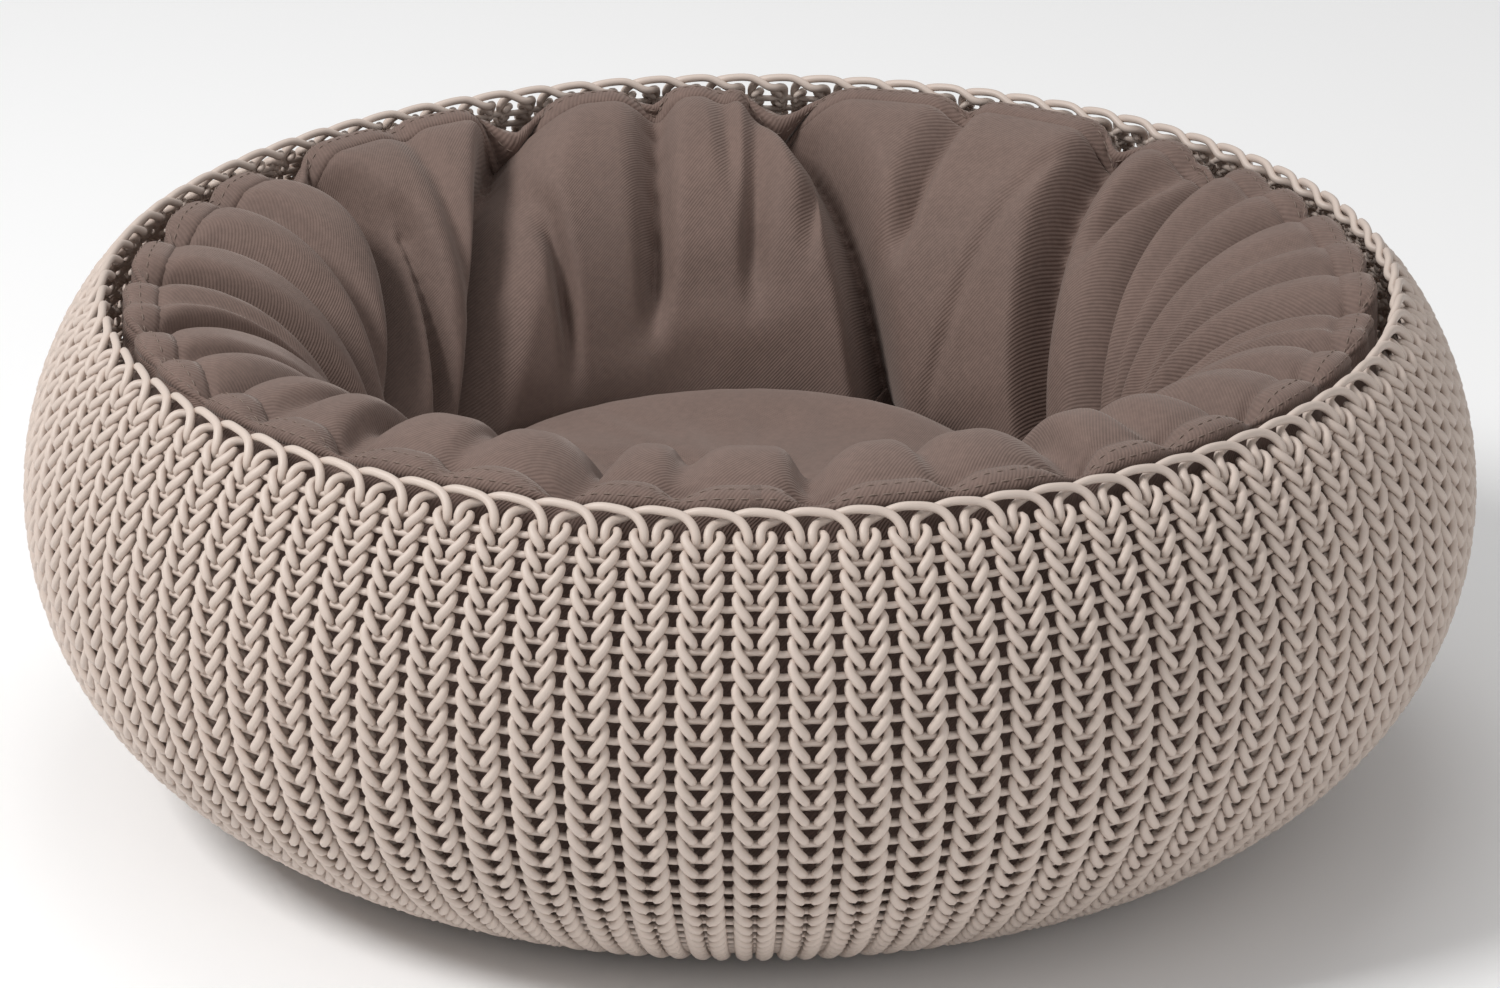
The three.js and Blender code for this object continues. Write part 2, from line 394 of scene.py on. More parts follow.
# The left arm of one stitch: across in columns from the stitch's middle, down in courses from the hook's top,
# depth in strand diameters, and radius as a share of the thickest.
STITCH_ARM = (
    (-0.180, 0.150, -1.05, 0.68),
    (-0.235, 0.015, -0.95, 0.76),
    (-0.297, -0.015, -0.70, 0.82),
    (-0.340, 0.130, -0.42, 0.88),
    (-0.341, 0.350, -0.22, 0.94),
    (-0.300, 0.605, -0.06, 0.98),
    (-0.228, 0.845, 0.00, 1.00),
    (-0.154, 1.065, -0.02, 0.96),
    (-0.112, 1.230, -0.22, 0.88),
    (-0.122, 1.360, -0.60, 0.78),
    (-0.165, 1.440, -1.00, 0.68),
)
ARM_HOOK_ABOVE_BAR = 0.62
BAR_DEPTH = 1.45
BAR_RADIUS = 0.76
BAR_WAVE = 0.055


def stitch_arms(basket, section, along, height, mirror, rings, sides):
    """All the arms of one course that lean one way."""
    arm = spline(STITCH_ARM, rings)
    pitch = 2 * math.pi / basket.wales
    wale = np.arange(basket.wales) * pitch + basket.front_turn
    scale = np.sqrt(section.at(along)[0] / BELLY_RADIUS)
    radius = basket.strand_radius * scale
    turn = wale[:, None] + mirror * arm[None, :, 0] * pitch
    down = along + (arm[:, 1] - ARM_HOOK_ABOVE_BAR) * height
    down = np.broadcast_to(down, turn.shape)
    out = np.broadcast_to((arm[:, 2] * 2 - 1) * radius, turn.shape)
    centres = section.place(turn, down, out)
    radii = np.broadcast_to(arm[:, 3] * radius, turn.shape)
    return tubes(centres, radii, section.outward(turn, down), sides)


def course_bar(basket, section, along, height):
    """The wavy bar that joins the stitches of one course behind them."""
    steps = basket.wales * 8
    turn = np.arange(steps) * 2 * math.pi / steps + basket.front_turn
    wave = np.cos(turn * basket.wales - basket.front_turn * basket.wales)
    scale = np.sqrt(section.at(along)[0] / BELLY_RADIUS)
    radius = basket.strand_radius * scale
    down = along - BAR_WAVE * height * wave
    out = np.full(steps, -radius * (1 + BAR_DEPTH))
    centres = section.place(turn, down, out)
    radii = np.full((1, steps), radius * BAR_RADIUS)
    return tubes(centres[None], radii, section.outward(turn, down)[None], 6, closed=True)


COURSES_IN_A_PIECE = 3


class OBJECT_OT_knit_wall(Operator):
    """Builds the wall of V-shaped stitches, a few courses to a piece"""

    bl_idname = "object.knit_wall"
    bl_label = "Knit wall"

    def execute(self, context):
        basket = context.scene.basket_settings
        section = WallSection(basket)
        levels = course_levels(basket, section)
        material = moulded_plastic("satin_moulding", basket.colour)
        for start in range(0, len(levels), COURSES_IN_A_PIECE):
            parts = []
            for along, height in levels[start:start + COURSES_IN_A_PIECE]:
                for mirror in (1, -1):
                    parts.append(stitch_arms(basket, section, along, height, mirror, 13, 8))
                parts.append(course_bar(basket, section, along, height))
            name = f"knit_courses_{start // COURSES_IN_A_PIECE + 1:02d}"
            piece = new_object(name, mesh_from(name, *joined(parts)))
            piece.data.materials.append(material)
            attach(piece, "basket")
            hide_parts("basket_wall")
        return {"FINISHED"}


# One loop of the rim, from its left foot over to its right foot: across in columns, distance down from the
# loop's top in metres, depth in strand diameters, and radius as a share of the thickest.
RIM_LOOP = (
    (0.145, 0.0119, -0.95, 0.72),
    (0.118, 0.0108, -0.55, 0.82),
    (0.100, 0.0090, -0.25, 0.90),
    (0.118, 0.0062, -0.30, 0.92),
    (0.200, 0.0040, -0.60, 0.90),
    (0.315, 0.00265, -0.95, 0.86),
    (0.456, 0.0015, -1.00, 0.84),
    (0.630, 0.0006, -0.60, 0.83),
    (0.820, 0.0001, -0.20, 0.82),
    (1.000, 0.0000, -0.05, 0.82),
    (1.190, 0.0003, 0.00, 0.83),
    (1.360, 0.0007, 0.00, 0.84),
    (1.500, 0.0013, 0.00, 0.85),
    (1.640, 0.0024, 0.00, 0.87),
    (1.755, 0.0042, 0.00, 0.90),
    (1.835, 0.0065, -0.05, 0.92),
    (1.870, 0.0090, -0.20, 0.90),
    (1.855, 0.0108, -0.55, 0.82),
    (1.825, 0.0119, -0.95, 0.72),
)


class OBJECT_OT_rim_loops(Operator):
    """Builds the open loops that finish the wall"""

    bl_idname = "object.rim_loops"
    bl_label = "Rim loops"

    def execute(self, context):
        basket = context.scene.basket_settings
        section = WallSection(basket)
        loop = spline(RIM_LOOP, 44)
        pitch = 2 * math.pi / basket.wales
        wale = np.arange(basket.wales) * pitch + basket.front_turn
        turn = wale[:, None] + loop[None, :, 0] * pitch
        radius = basket.strand_radius
        down = np.broadcast_to(loop[:, 1] + radius, turn.shape)
        out = np.broadcast_to((loop[:, 2] * 2 - 1) * radius, turn.shape)
        centres = section.place(turn, down, out)
        radii = np.broadcast_to(loop[:, 3] * radius, turn.shape)
        parts = tubes(centres, radii, section.outward(turn, down), 10)
        piece = new_object("rim_loops", mesh_from("rim_loops", *parts))
        piece.data.materials.append(moulded_plastic("satin_moulding", basket.colour))
        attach(piece, "basket")
        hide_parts("rim_edging")
        return {"FINISHED"}


FLOOR_RINGS_UNDER = 120
FLOOR_RINGS_ABOVE = 80


class OBJECT_OT_basket_floor(Operator):
    """Builds the moulded floor with its ribs and its standing ring"""

    bl_idname = "object.basket_floor"
    bl_label = "Basket floor"

    def execute(self, context):
        basket = context.scene.basket_settings
        edge = BASE_RADIUS - 0.0006
        radius = np.concatenate([[0.0], np.linspace(0.002, edge, FLOOR_RINGS_UNDER),
                                 [BASE_RADIUS - 0.0002] * 2, np.linspace(edge, 0.002, FLOOR_RINGS_ABOVE), [0.0]])
        under = np.arange(len(radius)) < FLOOR_RINGS_UNDER + 2
        ribs = 0.0006 * np.exp(-(((radius * 1000) % 24 - 12) / 1.6) ** 2)
        ring = 0.0007 * smoothstep(0.006, 0.0, np.abs(radius - (BASE_RADIUS - 0.008)))
        lower = 0.0009 - ring - 0.3 * ribs
        upper = FLOOR_TOP - 0.0006 + ribs
        height = np.where(under, lower, upper)
        height[FLOOR_RINGS_UNDER + 1:FLOOR_RINGS_UNDER + 4] = (0.0012, 0.0020, FLOOR_TOP - 0.0012)
        steps = 192
        turn = np.arange(steps) * 2 * math.pi / steps
        rows = len(radius) - 2
        grid = np.stack([radius[None, 1:-1] * np.sin(turn)[:, None],
                         -radius[None, 1:-1] * np.cos(turn)[:, None],
                         np.broadcast_to(height[1:-1], (steps, rows))], -1)
        piece = new_object("moulded_floor", ring_mesh("moulded_floor", grid))
        piece.data.materials.append(moulded_plastic("satin_moulding", basket.colour))
        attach(piece, "basket")
        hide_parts("basket_floor")
        return {"FINISHED"}


# The cushion ------------------------------------------------------------------

# The gathers of the padded wall. Each is a crease from the hem down to the pocket: angle from the back at the
# hem, half way and at the foot, all in degrees, depth, width and sideways lean in millimetres, the shares of
# the slope where it ends at the foot and at the hem, and whether the cloth's grain changes across it. The depth
# is multiplied by GATHER_DEPTH. The width is multiplied by GATHER_WIDTH at the foot, and by GATHER_WIDENING more
# at the hem.
GATHERS = (
    (-24.5, -36.5, -54.0, 26, 27, -9, 0.0, 1.0, True),
    (-26.0, -29.0, -31.0, 8, 10, 3, 0.22, 0.86, False),
    (-10.5, -13.8, -17.0, 13, 17, 3, 0.30, 1.0, True),
    (-3.0, -2.5, -2.0, 5, 7, 1, 0.66, 1.0, False),
    (1.5, 1.0, 0.0, 6, 13, -2, 0.35, 1.0, False),
    (4.0, 15.0, 23.0, 25, 26, -7, 0.0, 1.0, True),
    (8.0, 8.6, 10.0, 8, 9, 2, 0.5, 0.86, False),
    (22.5, 21.3, 20.0, 8, 13, 3, 0.46, 1.0, False),
    (39.0, 35.0, 31.0, 2.4, 6, 0, 0.1, 0.92, False),
    (41.4, 46.2, 55.0, 18, 24, -5, 0.0, 1.0, True),
    (50.5, 51.0, 53.0, 10, 11, 2, 0.6, 1.0, False),
    (53.6, 59.5, 70.5, 15, 20, 5, 0.0, 1.0, True),
    (62.0, 66.5, 74.0, 5, 13, 3, 0.12, 1.0, False),
    (70.0, 72.2, 77.0, 12, 16, 4, 0.0, 1.0, True),
    (79.0, 79.5, 80.0, 3.5, 12, 2, 0.2, 1.0, False),
    (87.0, 84.0, 79.0, 6, 14, 2, 0.15, 1.0, False),
    (97.0, 92.1, 83.0, 16, 20, 4, 0.0, 1.0, True),
    (103.0, 98.0, 88.0, 3.5, 12, 2, 0.2, 1.0, False),
    (108.5, 104.0, 99.0, 14, 17, 3, 0.1, 1.0, True),
    (-53.6, -57.0, -84.0, 22, 25, 6, 0.0, 1.0, True),
    (-48.0, -51.5, -64.0, 13, 15, 3, 0.12, 0.7, False),
    (-39.0, -44.0, -52.0, 4, 12, 1, 0.3, 1.0, False),
    (-66.0, -68.0, -82.0, 6, 14, 2, 0.25, 1.0, False),
    (-77.0, -76.0, -87.0, 14, 19, -5, 0.1, 1.0, True),
    (-89.0, -87.3, -90.5, 15, 18, 4, 0.0, 1.0, True),
    (-96.0, -92.0, -92.0, 4, 12, -2, 0.2, 1.0, False),
    (-103.0, -96.0, -94.0, 13, 16, 4, 0.0, 1.0, True),
    (-112.0, -108.0, -104.0, 9, 14, 2, 0.2, 1.0, False),
    (-121.0, -118.0, -116.0, 17, 22, -4, 0.0, 1.0, True),
    (-131.0, -131.0, -130.0, 8, 14, 2, 0.3, 1.0, False),
    (-142.0, -140.0, -141.0, 16, 22, 5, 0.0, 1.0, True),
    (-153.0, -152.0, -150.0, 7, 13, 2, 0.35, 1.0, False),
    (-163.0, -165.0, -166.0, 18, 23, -5, 0.0, 1.0, True),
    (-174.0, -175.0, -176.0, 9, 15, 2, 0.3, 1.0, False),
    (174.0, 172.0, 173.0, 15, 20, 4, 0.0, 1.0, True),
    (162.0, 163.0, 165.0, 7, 13, 2, 0.3, 1.0, False),
    (151.0, 150.0, 149.0, 17, 22, -5, 0.0, 1.0, True),
    (140.0, 139.0, 139.0, 8, 14, 2, 0.3, 1.0, False),
    (129.0, 131.0, 133.0, 16, 21, 4, 0.0, 1.0, True),
    (118.0, 117.0, 114.0, 9, 15, 2, 0.2, 1.0, False),
)
GATHER_DEPTH = 1.6
GATHER_WIDTH = 0.46
GATHER_WIDENING = 0.30
SLOPE_LENGTH = 0.122

# The cushion's section: its distance inside the wall's outer face, the radius where its base turns up, the
# radius of its first and last rows, the hem's width across the crest, the crest's height, and the least radius
# of the pocket's wall, which leaves the pad its room.
NEST_INSET = 0.008
NEST_BASE_EDGE = 0.143
SECTION_CENTRE = 0.004
HEM_REACH = 0.0135
CREST_LEVEL = NEST_TOP - 0.002
POCKET_LIMIT = POCKET_RADIUS - 0.0015

# The cloth simulation: its frames, the steps that the held shares are rounded to, how much larger the cloth is
# than its shape, how often its movement is eased, and how far the nest and the pad may move.
CLOTH_FRAMES = 20
HELD_STEPS = 20
CLOTH_SLACK = 0.02
EASING_PASSES = 8
NEST_SWELL = 0.024
PAD_SWELL = 0.022


def ring_mesh(name, grid, weave=None):
    """A closed skin from columns of points round the axis, capped at both ends of the columns.

    weave, where given, holds each face's four pairs of cloth coordinates.
    """
    columns, rows = grid.shape[:2]
    ids = np.arange(columns * rows).reshape(columns, rows)
    after = np.roll(ids, -1, axis=0)
    quads = np.stack([ids[:, :-1], after[:, :-1], after[:, 1:], ids[:, 1:]], -1).reshape(-1, 4)
    centre = columns * rows
    first = np.stack([np.full(columns, centre), after[:, 0], ids[:, 0]], -1)
    last = np.stack([np.full(columns, centre + 1), ids[:, -1], after[:, -1]], -1)
    caps = np.concatenate([first, last])
    points = np.concatenate([grid.reshape(-1, 3), grid[:, :1].mean(0), grid[:, -1:].mean(0)])
    sizes = np.concatenate([np.full(len(quads), 4), np.full(len(caps), 3)])
    mesh = mesh_from(name, points, np.concatenate([quads.ravel(), caps.ravel()]), sizes)
    layer = mesh.uv_layers.new(name="weave")
    if weave is None:
        flat = points[np.concatenate([quads.ravel(), caps.ravel()]), :2]
    else:
        flat = np.concatenate([weave.reshape(-1, 2), points[caps.ravel(), :2]])
    layer.data.foreach_set("uv", flat.astype(np.float32).ravel())
    return mesh


def centre_line(gather, slope):
    """The angle of a gather, in degrees, at shares of the slope, and how fast it turns."""
    top, middle, foot = gather[:3]
    bend = 2 * (top + foot) - 4 * middle
    lean = top - foot - bend
    return foot + lean * slope + bend * slope ** 2, lean + 2 * bend * slope


def gathered(angle, slope, radius):
    """How deep, and how far sideways, the gathers draw the cloth in, in metres. angle is in degrees."""
    deep = np.zeros(np.broadcast_shapes(angle.shape, slope.shape))
    aside = np.zeros_like(deep)
    for gather in GATHERS:
        depth, width, lean, low, high = gather[3:8]
        line, turning = centre_line(gather, slope)
        away = (angle - line + 180) % 360 - 180
        slant = radius * np.radians(turning) / SLOPE_LENGTH
        reach = (GATHER_WIDTH + GATHER_WIDENING * slope) * width * MM
        away = np.radians(away) * radius / np.sqrt(1 + slant ** 2) / reach
        near = np.clip(1 - np.abs(away), 0, 1)
        sharp = (1.0198 - np.sqrt(1.04 - near ** 2)) / 0.8198
        soft = near * near * (3 - 2 * near)
        form = np.where(depth > 8, 0.72 * sharp + 0.28 * soft, 0.35 * sharp + 0.65 * soft)
        ends = np.ones_like(slope)
        if low > 0:
            ends = ends * smoothstep(low - 0.16, low + 0.10, slope)
        if high < 1:
            ends = ends * (1 - smoothstep(high - 0.08, high + 0.12, slope))
        deep += (GATHER_DEPTH * depth * MM * form * ends) ** 3
        aside += lean * MM * soft * ends
    return np.cbrt(deep), aside


def cushion_section():
    """Rows of the cushion's section: radius, height, share of the slope and share of the gathers."""
    rows = []

    def add(points, count, slope, gather, skip_first=True):
        line = spline(points, count)
        shares = np.linspace(0, 1, count)
        for number in range(1 if skip_first else 0, count):
            share = shares[number]
            rows.append((*line[number], slope[0] + (slope[1] - slope[0]) * share,
                         gather[0] + (gather[1] - gather[0]) * share))

    reach = BELLY_RADIUS - BASE_RADIUS - NEST_INSET
    angle = -math.acos((NEST_RADIUS - BASE_RADIUS) / reach)
    arc = [(BASE_RADIUS + reach * math.cos(a), BELLY_LEVEL + (BELLY_LEVEL - NEST_INSET) * math.sin(a))
           for a in np.linspace(-1.45, angle, 6)]
    base_edge = (NEST_BASE_EDGE, NEST_FOOT + 0.0012)
    side_top = (NEST_RADIUS, NEST_TOP - 0.014)
    hem_inside = (NEST_RADIUS - HEM_REACH, CREST_LEVEL - 0.0005)
    pocket_floor = (POCKET_RADIUS - 0.006, NEST_FLOOR)
    add([(SECTION_CENTRE, NEST_FOOT), (0.07, NEST_FOOT), (0.132, NEST_FOOT), base_edge],
        7, (1, 1), (0, 0), False)
    add([base_edge, *arc], 12, (1, 1), (0, 0))
    add([arc[-1], (NEST_RADIUS, 0.09), (NEST_RADIUS, 0.14), side_top], 16, (1, 1), (0, 0.15))
    add([side_top, (NEST_RADIUS - 0.0006, NEST_TOP - 0.006), (NEST_RADIUS - 0.004, CREST_LEVEL), hem_inside],
        11, (1, 1), (0.15, 0.8))
    lip = np.array((POCKET_RADIUS + 0.0005, 0.082))
    bulge = np.array((POCKET_RADIUS + 0.0225, NEST_TOP - 0.027))
    shares = np.linspace(1, 0, 45)[1:, None]
    top = np.array(hem_inside)
    curve = (1 - shares) ** 2 * lip + 2 * shares * (1 - shares) * bulge + shares ** 2 * top
    for share, point in zip(shares[:, 0], curve):
        rows.append((*point, share, 1.0 if share < 0.9 else 1 - (share - 0.9) * 2))
    add([tuple(lip), (POCKET_RADIUS + 0.003, 0.070), (POCKET_RADIUS + 0.001, 0.052),
         (POCKET_RADIUS - 0.001, NEST_FLOOR + 0.004), pocket_floor], 16, (0, 0), (1, 0))
    add([pocket_floor, (0.06, NEST_FLOOR), (SECTION_CENTRE, NEST_FLOOR)], 7, (0, 0), (0, 0))
    return np.array(rows)


def inflate(piece, held, pressure, cap):
    """Lets the padding's pressure swell the cloth, each point held by its share and moved at most by cap."""
    scene = bpy.context.scene
    mesh = piece.data
    start = np.empty(len(mesh.vertices) * 3)
    mesh.vertices.foreach_get("co", start)
    group = piece.vertex_groups.new(name="held")
    shape = held.shape
    held = np.concatenate([held.ravel(), np.ones(len(mesh.vertices) - held.size)])
    levels = np.round(np.clip(held, 0, 1) * HELD_STEPS).astype(int)
    for level in range(1, HELD_STEPS + 1):
        chosen = np.nonzero(levels == level)[0]
        if len(chosen):
            group.add(chosen.tolist(), level / HELD_STEPS, "REPLACE")
    cloth = piece.modifiers.new("cloth", "CLOTH")
    cloth.settings.quality = 4
    cloth.settings.mass = 0.25
    cloth.settings.bending_stiffness = 6.0
    cloth.settings.use_pressure = True
    cloth.settings.uniform_pressure_force = pressure
    cloth.settings.vertex_group_mass = "held"
    cloth.settings.shrink_min = -CLOTH_SLACK
    cloth.settings.effector_weights.gravity = 0
    cloth.point_cache.frame_start = 1
    cloth.point_cache.frame_end = CLOTH_FRAMES
    for number in range(1, CLOTH_FRAMES + 1):
        scene.frame_set(number)
    swollen = piece.evaluated_get(bpy.context.evaluated_depsgraph_get()).to_mesh()
    moved = np.empty_like(start)
    swollen.vertices.foreach_get("co", moved)
    piece.modifiers.remove(cloth)
    scene.frame_set(1)
    piece.vertex_groups.clear()
    step = (moved - start).reshape(-1, 3)
    if not np.isfinite(step).all():
        raise RuntimeError(f"{piece.name}: the cloth did not settle")
    length = np.linalg.norm(step, axis=1, keepdims=True)
    step = step * np.minimum(1, cap / np.maximum(length, 1e-9))
    eased = step[:shape[0] * shape[1]].reshape(*shape, 3)
    for _ in range(EASING_PASSES):
        eased = (np.roll(eased, 1, 0) + 2 * eased + np.roll(eased, -1, 0)) / 4
        eased[:, 1:-1] = (eased[:, :-2] + 2 * eased[:, 1:-1] + eased[:, 2:]) / 4
    eased[held[:shape[0] * shape[1]].reshape(shape) == 1] = 0
    step[:shape[0] * shape[1]] = eased.reshape(-1, 3)
    mesh.vertices.foreach_set("co", (start.reshape(-1, 3) + step).ravel())
    mesh.update()


def points_of(piece, columns, rows):
    """A piece's points as columns by rows by 3."""
    points = np.empty(len(piece.data.vertices) * 3)
    piece.data.vertices.foreach_get("co", points)
    return points.reshape(-1, 3)[:columns * rows].reshape(columns, rows, 3)


def refined(grid):
    """The columns and rows of a skin, doubled by a smooth curve through them."""
    between = (9 * (grid + np.roll(grid, -1, 0)) - np.roll(grid, 1, 0) - np.roll(grid, -2, 0)) / 16
    wide = np.stack([grid, between], 1).reshape(-1, *grid.shape[1:])
    ends = np.concatenate([wide[:, :1], wide, wide[:, -1:]], 1)
    between = (9 * (ends[:, 1:-2] + ends[:, 2:-1]) - ends[:, :-3] - ends[:, 3:]) / 16
    fine = np.empty((wide.shape[0], 2 * wide.shape[1] - 1, 3))
    fine[:, 0::2] = wide
    fine[:, 1::2] = between
    return fine


def refined_weave(weave):
    """The cloth coordinates of the faces of a refined skin."""
    fine = np.empty((2 * weave.shape[0], 2 * weave.shape[1], 4, 2))
    for a in (0, 1):
        for b in (0, 1):
            for corner, (across, down) in enumerate(((0, 0), (1, 0), (1, 1), (0, 1))):
                u, v = (a + across) / 2, (b + down) / 2
                fine[a::2, b::2, corner] = ((1 - u) * (1 - v) * weave[:, :, 0] + u * (1 - v) * weave[:, :, 1]
                                            + u * v * weave[:, :, 2] + (1 - u) * v * weave[:, :, 3])
    return fine


def refine(piece, grid, weave=None):
    """Replaces the piece's mesh with one that has twice the columns and rows."""
    rough = piece.data
    weave = None if weave is None else refined_weave(weave)
    piece.data = ring_mesh(f"{piece.name}_skin", refined(grid), weave)
    bpy.data.meshes.remove(rough)


def cushion_grid(cushion, columns):
    """The cushion's skin as columns of points, from the middle of the base to the middle of the pocket.

    Also gives the section's rows, each column's angle in degrees, and the depth of the gathers at each point.
    """
    rows = cushion_section()
    radius, height, slope, gather = rows.T
    angle = (np.arange(columns) * 360 / columns - 180)[:, None]
    deep, aside = gathered(angle, slope[None], radius[None])
    tangent = unit(np.stack([np.gradient(radius), np.gradient(height)], 1))
    out_radius, out_height = tangent[:, 1], -tangent[:, 0]
    lobes = np.where((slope > 0) & (slope < 1), np.sin(math.pi * np.clip(slope, 0, 1)) ** 0.7, 0)
    near = smoothstep(-0.2, -0.9, np.cos(np.radians(angle)))
    deep = deep * (1 - 0.35 * near)
    full = cushion.puff * (1 + 0.5 * near) * lobes
    move = full - deep * gather
    drop = 0.20 * deep * gather * (slope == 1)
    lift = 0.007 * near * np.exp(-((slope - 0.82) / 0.16) ** 2) * (gather > 0.2)
    spread = radius + move * out_radius
    rise = height + move * out_height - drop + lift
    turn = np.radians(angle) + aside * gather / np.maximum(radius, 0.02)
    inside = (slope < 1) & (height < 0.104)
    inside = inside & (height > NEST_FLOOR + 0.002)
    spread = np.where(inside, np.maximum(spread, POCKET_LIMIT), spread)
    grid = np.stack([spread * np.sin(turn), spread * np.cos(turn), rise], -1)
    level = (np.roll(grid, 1, 0) + 2 * grid + np.roll(grid, -1, 0)) / 4
    level[:, 1:-1] = (level[:, :-2] + 6 * level[:, 1:-1] + level[:, 2:]) / 8
    grid = np.where((gather > 0.3)[None, :, None], level, grid)
    return grid, rows, angle, deep


def grain(rows, angle, columns):
    """Cloth coordinates of every face's corners: round the axis within its panel, and along the section."""
    radius, height, slope = rows[:, 0], rows[:, 1], rows[:, 2]
    down = np.concatenate([[0], np.cumsum(np.hypot(np.diff(radius), np.diff(height)))])
    lines = np.array([centre_line(g, slope)[0] for g in GATHERS if g[8]])
    lines = lines[np.argsort(lines[:, len(slope) // 2])]
    middle = (angle[:, 0] + 180 / columns)[:, None]
    row_lines = 0.5 * (lines[:, :-1] + lines[:, 1:])
    index = (middle[None] > row_lines[:, None, :]).sum(0)
    wrapped = np.concatenate([lines[-1:] - 360, lines, lines[:1] + 360])
    centre = 0.5 * (wrapped[:-1] + wrapped[1:])
    step = 360 / columns
    row = np.arange(len(radius) - 1)
    corners = []
    for side, below in ((0, 0), (1, 0), (1, 1), (0, 1)):
        at_row = row + below
        about = centre[index, at_row[None]]
        round_axis = np.radians(angle + side * step - about) * radius[at_row][None]
        corners.append(np.stack([round_axis, np.broadcast_to(down[at_row], round_axis.shape)], -1))
    return np.stack(corners, 2)


def finish_cloth(piece, body, nodes, cushion):
    """Gives a cloth piece its twill and tells the frame what it is."""
    piece.data.materials.append(twill("ribbed_twill", cushion.colour, cushion.rib_spacing))
    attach(piece, body)
    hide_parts(*nodes)


NEST_COLUMNS = 384


class OBJECT_OT_nest_cushion(Operator):
    """Builds the gathered nest cushion and lets its padding swell"""

    bl_idname = "object.nest_cushion"
    bl_label = "Nest cushion"

    def execute(self, context):
        cushion = context.scene.cushion_settings
        grid, rows, angle, deep = cushion_grid(cushion, NEST_COLUMNS)
        weave = grain(rows, angle, NEST_COLUMNS)
        piece = new_object("nest_cushion", ring_mesh("nest_cushion", grid, weave))
        slope = rows[:, 2]
        free = ((slope > 0.02) & (slope < 0.98))[None] & (rows[:, 3] > 0.5)[None]
        held = np.where(free, 0.15 + 0.85 * smoothstep(0.004, 0.010, deep), 1.0)
        inflate(piece, held.reshape(NEST_COLUMNS, -1), cushion.pressure, NEST_SWELL)
        points = points_of(piece, *grid.shape[:2])
        radius = np.hypot(points[..., 0], points[..., 1])
        low = (points[..., 2] > NEST_FLOOR + 0.004) & (points[..., 2] < 0.108) & (radius < POCKET_LIMIT)
        scale = np.where(low & (radius > 0.11), POCKET_LIMIT / np.maximum(radius, 1e-6), 1)
        scale = np.where(radius > NEST_RADIUS, NEST_RADIUS / np.maximum(radius, 1e-6), scale)
        points[..., :2] *= scale[..., None]
        refine(piece, points, weave)
        nodes = ("nest_inner_cover", "nest_wall_filling", "nest_outer_cover", "nest_floor_cover",
                 "nest_floor_filling", "nest_base_cover")
        finish_cloth(piece, "nest", nodes, cushion)
        return {"FINISHED"}


def hem_rows(cushion):
    """The rows of the crest that the hem lies on, as columns by rows by 3, and their outward directions."""
    grid, rows = cushion_grid(cushion, NEST_COLUMNS)[:2]
    crest = np.nonzero((rows[:, 2] == 1) & (rows[:, 1] > NEST_TOP - 0.007))[0]
    crest = crest[rows[crest, 0] > NEST_RADIUS - 0.0136]
    lines = grid[:, crest]
    round_axis = np.roll(lines, -1, 0) - np.roll(lines, 1, 0)
    across = np.gradient(lines, axis=1)
    normal = unit(np.cross(round_axis, across))
    normal *= np.sign(normal[..., 2:3].mean())
    return lines, normal


# The hem: how far its cover stands out of the crest and its back lies below it, the radius and the row height
# that its grain is laid out with, the thread's radius and height, and a stitch's pitch in stitch lengths.
HEM_PUFF = 0.0011
HEM_BACK = 0.0006
HEM_GRAIN_RADIUS = 0.212
HEM_GRAIN_ROW = 0.0012
THREAD_RADIUS = 0.00028
THREAD_HEIGHT = 0.0012
STITCH_PITCH = 1.4


